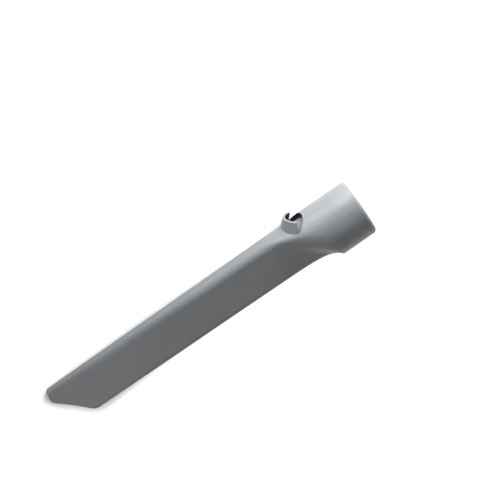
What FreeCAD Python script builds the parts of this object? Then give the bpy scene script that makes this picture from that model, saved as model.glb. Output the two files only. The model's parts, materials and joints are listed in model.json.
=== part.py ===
import FreeCAD
import Part
import math
import os

# A crevice tool, moulded in one piece. All sizes are in millimetres.
# It is drawn in its own axes: X runs along the airway from the nose to the spigot's open end,
# Y points to the narrow edge with the latch hood, and Z is square to the broad faces.
# The spigot's axis is the X axis. The finished tool is then laid down as it rests on a table.

# Blade
BLADE_LENGTH = 170.0
BLADE_HEIGHT = 30.6
TIP_THICKNESS = 9.2
ROOT_THICKNESS = 16.8
TIP_CORNER = 3.0
ROOT_CORNER = 4.2
WALL = 1.8

# Slanted mouth at the tip: a blunt nose, a hollow slanting lip and a rounded heel.
# The outline leaves both edges of the blade at the edge angle.
NOSE_RADIUS = 4.8
NOSE_FLAT = 1.1
CHIN_RADIUS = 5.0
LIP_START_ANGLE = 43.0
LIP_END_ANGLE = 51.0
HEEL_RADIUS = 14.0
EDGE_ANGLE = 16.0
LIP_ROUNDING = 0.8

# Neck, which swells from the blade to the round spigot. On each edge of the blade, the run is how
# far the neck goes straight on before it swells, and the lead is how far before the spigot it is round.
NECK_LENGTH = 44.0
TOP_RUN = 10.0
TOP_LEAD = 29.0
BOTTOM_RUN = 42.0
BOTTOM_LEAD = 3.0
EDGE_INSET = 1.0

# Round spigot, with a lead-in at its open end
SPIGOT_RADIUS = 20.0
SPIGOT_LENGTH = 26.0
SPIGOT_WALL = 2.2
LEAD_IN = 1.5

# Latch well in the neck, and the tapering hood wall that stands around its front
HOOD_SETBACK = 17.8
HOOD_LEAN = 29.0
HOOD_TAPER = 15.5
HOOD_CURVE = 13.2
HOOD_HALF_ARC = 65.0
HOOD_RISE = 7.8
HOOD_FOOT = 1.3
HOOD_WALL = 1.6
HOOD_BEVEL = 0.4
WELL_LENGTH = 17.0
WELL_WIDTH = 24.4
WELL_BACK_CURVE = 14.3
WELL_FLARE = 4.0
WELL_DEPTH = 3.3

# Drawing aids: room past a cut, how far the mouth's curves run past the blade, where the blade's skin is
# split behind the mouth as a share of its height, the half angle of the circle that a flat of the blade
# turns into, how evenly the neck starts to swell, and how near counts as touching
OVERCUT = 5.0
MOUTH_OVERRUN = 0.2
SPLIT_SHARE = 0.85
FLAT_ANGLE = 35.0
EASE_SHARE = 0.8
TOUCH = 0.001

BLADE_TOP = SPIGOT_RADIUS - EDGE_INSET
BLADE_BOTTOM = BLADE_TOP - BLADE_HEIGHT
TIP_LENGTH = BLADE_HEIGHT * SPLIT_SHARE
SPIGOT_START = BLADE_LENGTH + NECK_LENGTH
TOOL_LENGTH = SPIGOT_START + SPIGOT_LENGTH
HOOD_X = BLADE_LENGTH + HOOD_SETBACK
FLOOR_RADIUS = SPIGOT_RADIUS - WELL_DEPTH

Vector = FreeCAD.Vector
ORIGIN = Vector(0, 0, 0)
X_AXIS = Vector(1, 0, 0)
Y_AXIS = Vector(0, 1, 0)
Z_AXIS = Vector(0, 0, 1)


def mix(start, end, share):
    return start + (end - start) * share


def sine(degrees):
    return math.sin(math.radians(degrees))


def cosine(degrees):
    return math.cos(math.radians(degrees))


def slope(degrees):
    return math.tan(math.radians(degrees))


LEAN_UP = Vector(sine(HOOD_LEAN), cosine(HOOD_LEAN), 0)
LEAN_BACK = Vector(cosine(HOOD_LEAN), -sine(HOOD_LEAN), 0)
HOOD_CENTRE = Vector(HOOD_X, BLADE_TOP, 0) + LEAN_BACK * HOOD_CURVE
WELL_CENTRE = Vector(HOOD_X + WELL_LENGTH - WELL_BACK_CURVE, BLADE_TOP, 0)


def flat_ring(x, top, bottom, half_width, corner):
    """Rounded rectangle at x as weighted poles: the end of each flat or corner, then its middle pole."""
    high = top - corner
    low = bottom + corner
    flat = half_width - corner
    centre = (top + bottom) / 2
    bend = math.sqrt(0.5)
    poles = [(top, -flat, 1), (top, 0, 1), (top, flat, 1), (top, half_width, bend),
             (high, half_width, 1), (centre, half_width, 1), (low, half_width, 1), (bottom, half_width, bend),
             (bottom, flat, 1), (bottom, 0, 1), (bottom, -flat, 1), (bottom, -half_width, bend),
             (low, -half_width, 1), (centre, -half_width, 1), (high, -half_width, 1),
             (top, -half_width, bend)]
    return [(Vector(x, y, z), weight) for y, z, weight in poles]


def round_ring(x, radius):
    """Circle at x as weighted poles that match those of a flat ring."""
    poles = []
    for quarter in range(4):
        for centre, half_arc in ((90.0 * quarter, FLAT_ANGLE), (90.0 * quarter + 45.0, 45.0 - FLAT_ANGLE)):
            weight = cosine(half_arc)
            end_and_middle = ((centre - half_arc, radius, 1), (centre, radius / weight, weight))
            for degrees, reach, pole_weight in end_and_middle:
                poles.append((Vector(x, reach * cosine(degrees), reach * sine(degrees)), pole_weight))
    return poles


def patch(rows):
    """Bezier face through rows of weighted poles, or a plane face where the poles make a flat blade side."""
    if len(rows) == 2 and all(weight == 1 for point, weight in rows[0]):
        corners = [rows[0][0][0], rows[0][2][0], rows[1][2][0], rows[1][0][0]]
        return Part.Face(Part.makePolygon(corners + corners[:1]))
    surface = Part.BezierSurface()
    surface.increase(len(rows) - 1, len(rows[0]) - 1)
    for row_number, row in enumerate(rows, 1):
        for pole_number, (point, weight) in enumerate(row, 1):
            surface.setPole(row_number, pole_number, point, weight)
    return surface.toShape()


def span(ring, first):
    """The three poles of one edge of a ring."""
    return [ring[(first + step) % len(ring)] for step in range(3)]


def ring_face(ring):
    edges = []
    for first in range(0, len(ring), 2):
        curve = Part.BezierCurve()
        curve.increase(2)
        for pole_number, (point, weight) in enumerate(span(ring, first), 1):
            curve.setPole(pole_number, point, weight)
        edges.append(curve.toShape())
    return Part.Face(Part.Wire(edges))


def skin(ring_rows):
    """Faces of the eight patches that run along rows of rings."""
    faces = []
    for first in range(0, len(ring_rows[0]), 2):
        faces.append(patch([span(ring, first) for ring in ring_rows]))
    return faces


def blade_ring(x, inset):
    share = x / BLADE_LENGTH
    half_width = mix(TIP_THICKNESS, ROOT_THICKNESS, share) / 2
    corner = mix(TIP_CORNER, ROOT_CORNER, share)
    return flat_ring(x, BLADE_TOP - inset, BLADE_BOTTOM + inset, half_width - inset, corner - inset)


def neck_rows(inset, end_ring):
    """Rings of the neck's poles, which leave the blade and meet the spigot in line with them."""
    root = blade_ring(BLADE_LENGTH, inset)
    before = blade_ring(BLADE_LENGTH - 1, inset)
    runs = []
    leads = []
    for point, weight in root:
        height = (point.y - BLADE_BOTTOM) / BLADE_HEIGHT
        runs.append(mix(BOTTOM_RUN, TOP_RUN, height))
        leads.append(mix(BOTTOM_LEAD, TOP_LEAD, height))
    rows = [root]
    for share in (EASE_SHARE, 1):
        rows.append([(point + (point - earlier) * run * share, weight)
                     for (point, weight), (earlier, _), run in zip(root, before, runs)])
    for share in (1, 1 - EASE_SHARE):
        rows.append([(point - X_AXIS * lead * share, weight)
                     for (point, weight), lead in zip(end_ring, leads)])
    rows.append(end_ring)
    return rows


def tool_body(inset, spigot_inset, end_overcut):
    """Solid of the tool's outside, or of its airway when the walls are the insets."""
    start_ring = blade_ring(-OVERCUT, inset)
    tip_ring = blade_ring(TIP_LENGTH, inset)
    radius = SPIGOT_RADIUS - spigot_inset
    round_at = SPIGOT_START + spigot_inset
    end_ring = round_ring(round_at, radius)
    rows = neck_rows(inset, end_ring)
    faces = skin([start_ring, tip_ring]) + skin([tip_ring, rows[0]]) + skin(rows)
    shell = Part.makeShell(faces + [ring_face(start_ring), ring_face(end_ring)])
    shell.sewShape()
    body = Part.makeSolid(shell)
    spigot = Part.makeCylinder(radius, TOOL_LENGTH + end_overcut - round_at, Vector(round_at, 0, 0), X_AXIS)
    return body.fuse(spigot).removeSplitter()


def arc_step(radius, start, end):
    """Way along an arc that heads down the slope by the start angle and then by the end angle."""
    return Vector(radius * (sine(start) - sine(end)), radius * (cosine(start) - cosine(end)), 0)


def mouth_waste():
    """What the slanted mouth takes off the tip: a blunt nose, a slightly hollow lip and a rounded heel."""
    first_angle = 180.0 - EDGE_ANGLE
    nose_drop = NOSE_FLAT - NOSE_RADIUS * cosine(first_angle) + CHIN_RADIUS * cosine(LIP_START_ANGLE)
    heel_drop = HEEL_RADIUS * (cosine(EDGE_ANGLE) - cosine(LIP_END_ANGLE))
    lip_drop = BLADE_HEIGHT + 2 * MOUTH_OVERRUN - nose_drop - heel_drop
    lip_radius = lip_drop / (cosine(LIP_START_ANGLE) - cosine(LIP_END_ANGLE))
    point = Vector(NOSE_RADIUS * (1 - sine(first_angle)), BLADE_TOP + MOUTH_OVERRUN, 0)
    above = Vector(point.x, BLADE_TOP + OVERCUT, 0)
    edges = [Part.makeLine(above, point)]
    for radius, start, end, straight in ((NOSE_RADIUS, first_angle, 90.0, NOSE_FLAT),
                                         (CHIN_RADIUS, 90.0, LIP_START_ANGLE, 0),
                                         (-lip_radius, LIP_START_ANGLE, LIP_END_ANGLE, 0),
                                         (HEEL_RADIUS, LIP_END_ANGLE, EDGE_ANGLE, OVERCUT)):
        middle = point + arc_step(radius, start, (start + end) / 2)
        finish = point + arc_step(radius, start, end)
        edges.append(Part.Arc(point, middle, finish).toShape())
        point = finish
        if straight:
            point = finish - Y_AXIS * straight
            edges.append(Part.makeLine(finish, point))
    corners = [point, Vector(-2 * OVERCUT, point.y, 0), Vector(-2 * OVERCUT, above.y, 0), above]
    for corner, following in zip(corners, corners[1:]):
        edges.append(Part.makeLine(corner, following))
    outline = Part.Face(Part.Wire(edges))
    outline.translate(Vector(0, 0, -ROOT_THICKNESS))
    return outline.extrude(Vector(0, 0, 2 * ROOT_THICKNESS))


def flared_cone(centre, up, radius, flare):
    """Cone about an axis through the centre, which has the radius there and widens upwards by the flare."""
    reach = SPIGOT_RADIUS
    change = reach * slope(flare)
    return Part.makeCone(radius - change, radius + change, 2 * reach, centre - up * reach, up)


def well_outline(growth):
    """Eye-shaped, blunt-ended space from the hood's outer face to the well's back, grown on all sides."""
    front = flared_cone(HOOD_CENTRE, LEAN_UP, HOOD_CURVE + growth, -HOOD_TAPER)
    back = flared_cone(WELL_CENTRE, Y_AXIS, WELL_BACK_CURVE + growth, WELL_FLARE)
    width = WELL_WIDTH + 2 * growth
    slab = Part.makeBox(TOOL_LENGTH, 2 * SPIGOT_RADIUS, width, Vector(0, 0, -width / 2))
    return front.common(back).common(slab)


def core(radius):
    """Cylinder about the spigot's axis, as long as the tool."""
    return Part.makeCylinder(radius, TOOL_LENGTH, ORIGIN, X_AXIS)


def edges_where(shape, test):
    """Edges of a shape whose middle point passes the test."""
    found = []
    for edge in shape.Edges:
        if test(edge.valueAt((edge.FirstParameter + edge.LastParameter) / 2)):
            found.append(edge)
    return found


def touches(shape, point):
    return shape.distToShape(Part.Vertex(point))[0] < TOUCH


def moulded_outside():
    """Outside of the blade, neck and spigot, with the mouth cut, its lip rounded and the spigot's lead-in."""
    body = tool_body(0.0, 0.0, 0.0)
    surface = body.Shells[0]
    waste = mouth_waste()
    cut = body.cut(waste)
    cut = cut.makeFillet(LIP_ROUNDING, edges_where(cut, lambda p: touches(waste, p) and touches(surface, p)))
    return cut.makeChamfer(LEAD_IN, edges_where(cut, lambda p: abs(p.x - TOOL_LENGTH) < TOUCH))


def hood_wall(foot):
    """Hood wall, part of a tapering ring about its axis, with its foot that far below the blade's edge."""
    foot_radius = HOOD_CURVE + foot * slope(HOOD_TAPER)
    rim_radius = HOOD_CURVE - HOOD_RISE * slope(HOOD_TAPER)
    corners = [Vector(-foot_radius, 0, -foot), Vector(-rim_radius, 0, HOOD_RISE),
               Vector(HOOD_WALL - rim_radius, 0, HOOD_RISE), Vector(HOOD_WALL - foot_radius, 0, -foot)]
    section = Part.Face(Part.makePolygon(corners + corners[:1]))
    section.rotate(ORIGIN, Z_AXIS, -HOOD_HALF_ARC)
    wall = section.revolve(ORIGIN, Z_AXIS, 2 * HOOD_HALF_ARC)
    wall = wall.makeChamfer(HOOD_BEVEL, edges_where(wall, lambda p: p.z > HOOD_RISE - TOUCH))
    wall.rotate(ORIGIN, X_AXIS, -90)
    wall.rotate(ORIGIN, Z_AXIS, -HOOD_LEAN)
    wall.translate(HOOD_CENTRE)
    return wall


def hollow_airway():
    """Airway from mouth to spigot, which keeps a wall below the latch well."""
    well_wall = well_outline(WALL).cut(core(FLOOR_RADIUS - WALL))
    return tool_body(WALL, SPIGOT_WALL, OVERCUT).cut(well_wall)


def lay_down(shape):
    """Rest the tool on the tip's broad face and the spigot, with the middle of its box over the origin."""
    rise = SPIGOT_RADIUS - TIP_THICKNESS / 2
    shape.rotate(ORIGIN, Y_AXIS, -math.degrees(math.atan2(rise, SPIGOT_START)))
    box = shape.optimalBoundingBox()
    shape.translate(Vector(-box.Center.x, -box.Center.y, -box.ZMin))
    return shape


well = well_outline(0.0).cut(core(FLOOR_RADIUS)).cut(hood_wall(SPIGOT_RADIUS))
tool = moulded_outside().fuse(hood_wall(HOOD_FOOT)).cut(well).cut(hollow_airway())
tool = lay_down(tool)

os.makedirs("parts", exist_ok=True)
tool.exportStep("parts/crevice_tool.step")
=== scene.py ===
import json
import math

import bpy
from mathutils import Matrix, Vector


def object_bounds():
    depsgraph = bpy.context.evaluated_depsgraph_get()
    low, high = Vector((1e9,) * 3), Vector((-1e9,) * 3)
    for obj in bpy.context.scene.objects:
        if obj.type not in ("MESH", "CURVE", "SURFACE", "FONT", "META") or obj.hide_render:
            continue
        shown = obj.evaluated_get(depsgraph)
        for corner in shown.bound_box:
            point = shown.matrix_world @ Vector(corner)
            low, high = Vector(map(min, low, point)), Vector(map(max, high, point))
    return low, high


# Looks of a crevice tool, which lies on a white table. Lengths are in metres.

# Picture: its width in pixels, and the size of a pixel at the tool
PICTURE_WIDTH = 500
PIXEL = 0.00066

# Camera: how far the tool is rolled in the picture and turned from its broad face to the hood's edge,
# in degrees, how far away the camera is, the width of its sensor in millimetres, and where it aims,
# from the spigot's middle back along the tool and across to the hood's edge
VIEW_ROLL = 34.6
VIEW_TURN = 27.0
CAMERA_DISTANCE = 1.5
SENSOR_MM = 36.0
AIM_BEHIND_SPIGOT = 0.0593
AIM_TO_HOOD = 0.0220

# Colours: white, and the plastic's dark and light parts, rubbed edges, and the painted shade in its deep
# recesses
WHITE = (1, 1, 1)
PLASTIC_DARK = (0.128, 0.135, 0.142)
PLASTIC_LIGHT = (0.182, 0.192, 0.201)
PLASTIC_WORN = (0.226, 0.236, 0.245)
PLASTIC_PAINTED_SHADE = (0.058, 0.061, 0.064)

# Markings that make the plastic dark or light: each one's size, its number of finer layers, how far it is
# drawn out along the tool, and its share. Together their noise runs from about NOISE_LOW to NOISE_HIGH.
MARKINGS = {
    "clouds": (0.035, 4, 1, 0.50),
    "streaks": (0.0035, 2, 9, 0.15),
    "specks": (0.0003, 1, 1, 0.35),
}
NOISE_LOW = 0.35
NOISE_HIGH = 0.65

# Roughness of the dark and light parts and of rubbed edges, and the moulded grain's size, number of finer
# layers, and depth
ROUGH_DARK = 0.36
ROUGH_LIGHT = 0.50
ROUGH_WORN = 0.30
GRAIN_SIZE = 0.0006
GRAIN_LAYERS = 3
GRAIN_DEPTH = 0.00005

# Rubbed edges: how far they reach, how much of the dark and light parts is rubbed off, and how like the true
# normal a rounded one is, as a cosine, where it counts as a flat or an edge
WEAR_REACH = 0.0012
WEAR_DARK = 0.25
WEAR_LIGHT = 0.80
FLAT_COSINE = 0.98
EDGE_COSINE = 0.80

# Painted shade in deep recesses: how near their walls are, and the share of the view that is open where the
# painted shade starts and is full
RECESS_SHADE_REACH = 0.012
RECESS_SHADE_START = 0.90
RECESS_SHADE_FULL = 0.40

# Floor, much wider than the picture
FLOOR_SIZE = 6.0
FLOOR_COLOUR = (0.90, 0.90, 0.90)
FLOOR_ROUGHNESS = 0.9

# Its glow to the camera, and the shade that the tool casts in it: where the light comes from, how near the
# tool is, and the share of the view to the light that is open where the shade starts and is full
FLOOR_GLOW = 0.83
SHADE_FROM = Vector((0.57, 0.82, 0.55)).normalized()
SHADE_REACH = 0.013
SHADE_START = 0.95
SHADE_FULL = 0.60

# Light: the sky's strength as a light and as a background, and each soft lamp's power in watts, width,
# height, and place from the tool's middle
SKY_STRENGTH = 0.20
SKY_SEEN = 1.0
LAMPS = {
    "key": (0.55, 0.30, 0.30, (-0.24, -0.16, 0.38)),
    "edge": (1.85, 0.20, 0.08, (0.22, 0.23, 0.04)),
}

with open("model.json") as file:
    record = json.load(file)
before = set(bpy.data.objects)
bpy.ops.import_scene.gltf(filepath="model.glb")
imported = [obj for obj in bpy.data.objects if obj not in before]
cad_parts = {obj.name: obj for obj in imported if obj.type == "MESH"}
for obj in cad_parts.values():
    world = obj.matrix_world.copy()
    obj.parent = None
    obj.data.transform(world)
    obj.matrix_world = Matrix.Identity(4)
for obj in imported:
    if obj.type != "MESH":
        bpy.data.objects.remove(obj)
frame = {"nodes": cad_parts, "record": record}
cad_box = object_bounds()
tool = frame["nodes"]["crevice_tool"]
spigot = next(mount for mount in frame["record"]["mounts"] if mount["name"] == "spigot")

# The tool's own axes: along the airway to the spigot's open end, to the hood's edge, and out of a broad face
along = Vector(spigot["axis"]).normalized()
to_hood = Vector((0, 1, 0))
out = along.cross(to_hood)


def place_at(thing, place, right, up, back):
    """Put a camera or lamp at a place, with the given axes."""
    matrix = Matrix((right, up, back)).transposed().to_4x4()
    matrix.translation = place
    thing.matrix_world = matrix
    bpy.context.scene.collection.objects.link(thing)


def new_material(name):
    """Material with its node tree and shader."""
    material = bpy.data.materials.new(name)
    material.use_nodes = True
    return material, material.node_tree, material.node_tree.nodes["Principled BSDF"]


def feed(tree, socket, value):
    """Give an input socket a number, a colour, or another node's output."""
    if isinstance(value, bpy.types.NodeSocket):
        tree.links.new(value, socket)
    elif isinstance(value, tuple):
        socket.default_value = (*value, 1)
    else:
        socket.default_value = value


def fill(tree, node, values):
    """Feed a node's inputs by name."""
    for name, value in values.items():
        feed(tree, node.inputs[name], value)


def combine(tree, operation, first, second):
    """Value socket of two values."""
    maths = tree.nodes.new("ShaderNodeMath")
    maths.operation = operation
    feed(tree, maths.inputs[0], first)
    feed(tree, maths.inputs[1], second)
    return maths.outputs[0]


def in_range(tree, value, from_start, from_end, to_start, to_end):
    """Value socket moved from one range to another, and held within it."""
    ranged = tree.nodes.new("ShaderNodeMapRange")
    fill(tree, ranged, {"Value": value, "From Min": from_start, "From Max": from_end,
                        "To Min": to_start, "To Max": to_end})
    return ranged.outputs["Result"]


def blend(tree, factor, first, second):
    """Colour socket between two colours."""
    mixer = tree.nodes.new("ShaderNodeMix")
    mixer.data_type = "RGBA"
    sockets = {socket.name: socket for socket in mixer.inputs if socket.enabled}
    for name, value in (("Factor", factor), ("A", first), ("B", second)):
        feed(tree, sockets[name], value)
    return next(socket for socket in mixer.outputs if socket.enabled)


def add_noise(tree, place, size, layers, stretch=1):
    """Noise socket of about the given size, with finer layers in it, and drawn out along the tool."""
    drawn = tree.nodes.new("ShaderNodeMapping")
    drawn.inputs["Scale"].default_value = (1 / stretch, 1, 1)
    feed(tree, drawn.inputs["Vector"], place)
    noise = tree.nodes.new("ShaderNodeTexNoise")
    fill(tree, noise, {"Vector": drawn.outputs["Vector"], "Scale": 1 / size, "Detail": layers})
    return noise.outputs["Fac"]


def seen_strength(tree, seen, unseen):
    """Strength socket for rays that show the stage, straight, mirrored or through, and for the rest."""
    rays = tree.nodes.new("ShaderNodeLightPath").outputs
    shows = combine(tree, "MAXIMUM", rays["Is Camera Ray"], rays["Is Glossy Ray"])
    shows = combine(tree, "MAXIMUM", shows, rays["Is Transmission Ray"])
    return in_range(tree, shows, 0, 1, unseen, seen)


def make_camera():
    """Camera that sees the tool as the picture does."""
    roll = math.radians(VIEW_ROLL)
    turn = math.radians(VIEW_TURN)
    back = to_hood * math.sin(turn) + out * math.cos(turn)
    across = to_hood * math.cos(turn) - out * math.sin(turn)
    right = along * math.cos(roll) - across * math.sin(roll)
    up = along * math.sin(roll) + across * math.cos(roll)
    aim = Vector(spigot["pos_m"]) - along * AIM_BEHIND_SPIGOT + across * AIM_TO_HOOD
    data = bpy.data.cameras.new("camera")
    data.sensor_width = SENSOR_MM
    data.lens = SENSOR_MM * CAMERA_DISTANCE / (PICTURE_WIDTH * PIXEL)
    camera = bpy.data.objects.new("camera", data)
    place_at(camera, aim + back * CAMERA_DISTANCE, right, up, back)
    bpy.context.scene.camera = camera


def make_floor():
    """White floor under the tool, which glows to the camera and keeps the tool's shadow."""
    half = FLOOR_SIZE / 2
    level = cad_box[0].z
    mesh = bpy.data.meshes.new("floor")
    corners = [(-half, -half, level), (half, -half, level), (half, half, level), (-half, half, level)]
    mesh.from_pydata(corners, [], [(0, 1, 2, 3)])
    floor = bpy.data.objects.new("floor", mesh)
    bpy.context.scene.collection.objects.link(floor)
    material, tree, shader = new_material("floor")
    towards = tree.nodes.new("ShaderNodeCombineXYZ")
    fill(tree, towards, dict(zip("XYZ", SHADE_FROM)))
    shade = tree.nodes.new("ShaderNodeAmbientOcclusion")
    fill(tree, shade, {"Distance": SHADE_REACH, "Normal": towards.outputs["Vector"]})
    lit = in_range(tree, shade.outputs["AO"], SHADE_FULL, SHADE_START, 0, 1)
    glow = combine(tree, "MULTIPLY", lit, seen_strength(tree, FLOOR_GLOW, 0))
    fill(tree, shader, {"Base Color": FLOOR_COLOUR, "Roughness": FLOOR_ROUGHNESS, "Specular IOR Level": 0,
                        "Emission Color": WHITE, "Emission Strength": glow})
    mesh.materials.append(material)


def make_light():
    """White sky, and soft lamps that face the tool's middle."""
    world = bpy.data.worlds.new("studio")
    bpy.context.scene.world = world
    world.use_nodes = True
    tree = world.node_tree
    strength = seen_strength(tree, SKY_SEEN, SKY_STRENGTH)
    fill(tree, tree.nodes["Background"], {"Color": WHITE, "Strength": strength})
    middle = (cad_box[0] + cad_box[1]) / 2
    upwards = Vector((0, 0, 1))
    for name, (watts, width, height, offset) in LAMPS.items():
        data = bpy.data.lights.new(name, "AREA")
        data.shape = "RECTANGLE"
        data.energy = watts
        data.size = width
        data.size_y = height
        lamp = bpy.data.objects.new(name, data)
        back = Vector(offset).normalized()
        right = upwards.cross(back).normalized()
        place_at(lamp, middle + Vector(offset), right, back.cross(right), back)


def edge_mask(tree):
    """One on the sharp edges and none on the flats, from how far a rounded normal turns from the true one."""
    rounded = tree.nodes.new("ShaderNodeBevel")
    feed(tree, rounded.inputs["Radius"], WEAR_REACH)
    likeness = tree.nodes.new("ShaderNodeVectorMath")
    likeness.operation = "DOT_PRODUCT"
    feed(tree, likeness.inputs[0], rounded.outputs["Normal"])
    feed(tree, likeness.inputs[1], tree.nodes.new("ShaderNodeNewGeometry").outputs["Normal"])
    return in_range(tree, likeness.outputs["Value"], FLAT_COSINE, EDGE_COSINE, 0, 1)


def painted_recess_shade_mask(tree):
    """One deep in the tool's own recesses, where shade is painted into the plastic, and none in the open."""
    cover = tree.nodes.new("ShaderNodeAmbientOcclusion")
    cover.only_local = True
    feed(tree, cover.inputs["Distance"], RECESS_SHADE_REACH)
    return in_range(tree, cover.outputs["AO"], RECESS_SHADE_START, RECESS_SHADE_FULL, 0, 1)


def make_plastic():
    """Satin grey moulded plastic, with clouds, flow streaks and pigment specks in its colour and gloss,
    a fine grain, edges that are rubbed a little lighter and smoother, and painted shade that darkens its
    recesses."""
    material, tree, shader = new_material("tool_plastic")
    place = tree.nodes.new("ShaderNodeTexCoord").outputs["Object"]

    noise = 0
    for size, layers, stretch, share in MARKINGS.values():
        marking = add_noise(tree, place, size, layers, stretch)
        noise = combine(tree, "ADD", noise, combine(tree, "MULTIPLY", marking, share))
    lightness = in_range(tree, noise, NOISE_LOW, NOISE_HIGH, 0, 1)
    rubbed = in_range(tree, lightness, 0, 1, WEAR_DARK, WEAR_LIGHT)
    worn = combine(tree, "MULTIPLY", edge_mask(tree), rubbed)

    colour = blend(tree, lightness, PLASTIC_DARK, PLASTIC_LIGHT)
    # Painted shade: the plastic's colour is darkened in its own recesses, where shade falls
    colour = blend(tree, painted_recess_shade_mask(tree), colour, PLASTIC_PAINTED_SHADE)
    colour = blend(tree, worn, colour, PLASTIC_WORN)
    roughness = in_range(tree, lightness, 0, 1, ROUGH_DARK, ROUGH_LIGHT)
    roughness = in_range(tree, worn, 0, 1, roughness, ROUGH_WORN)
    grain = tree.nodes.new("ShaderNodeBump")
    fill(tree, grain, {"Distance": GRAIN_DEPTH, "Height": add_noise(tree, place, GRAIN_SIZE, GRAIN_LAYERS)})
    fill(tree, shader, {"Base Color": colour, "Roughness": roughness, "Normal": grain.outputs["Normal"]})
    return material


bpy.context.scene.view_settings.view_transform = "Standard"
make_camera()
make_floor()
make_light()
tool.material_slots[0].material = make_plastic()
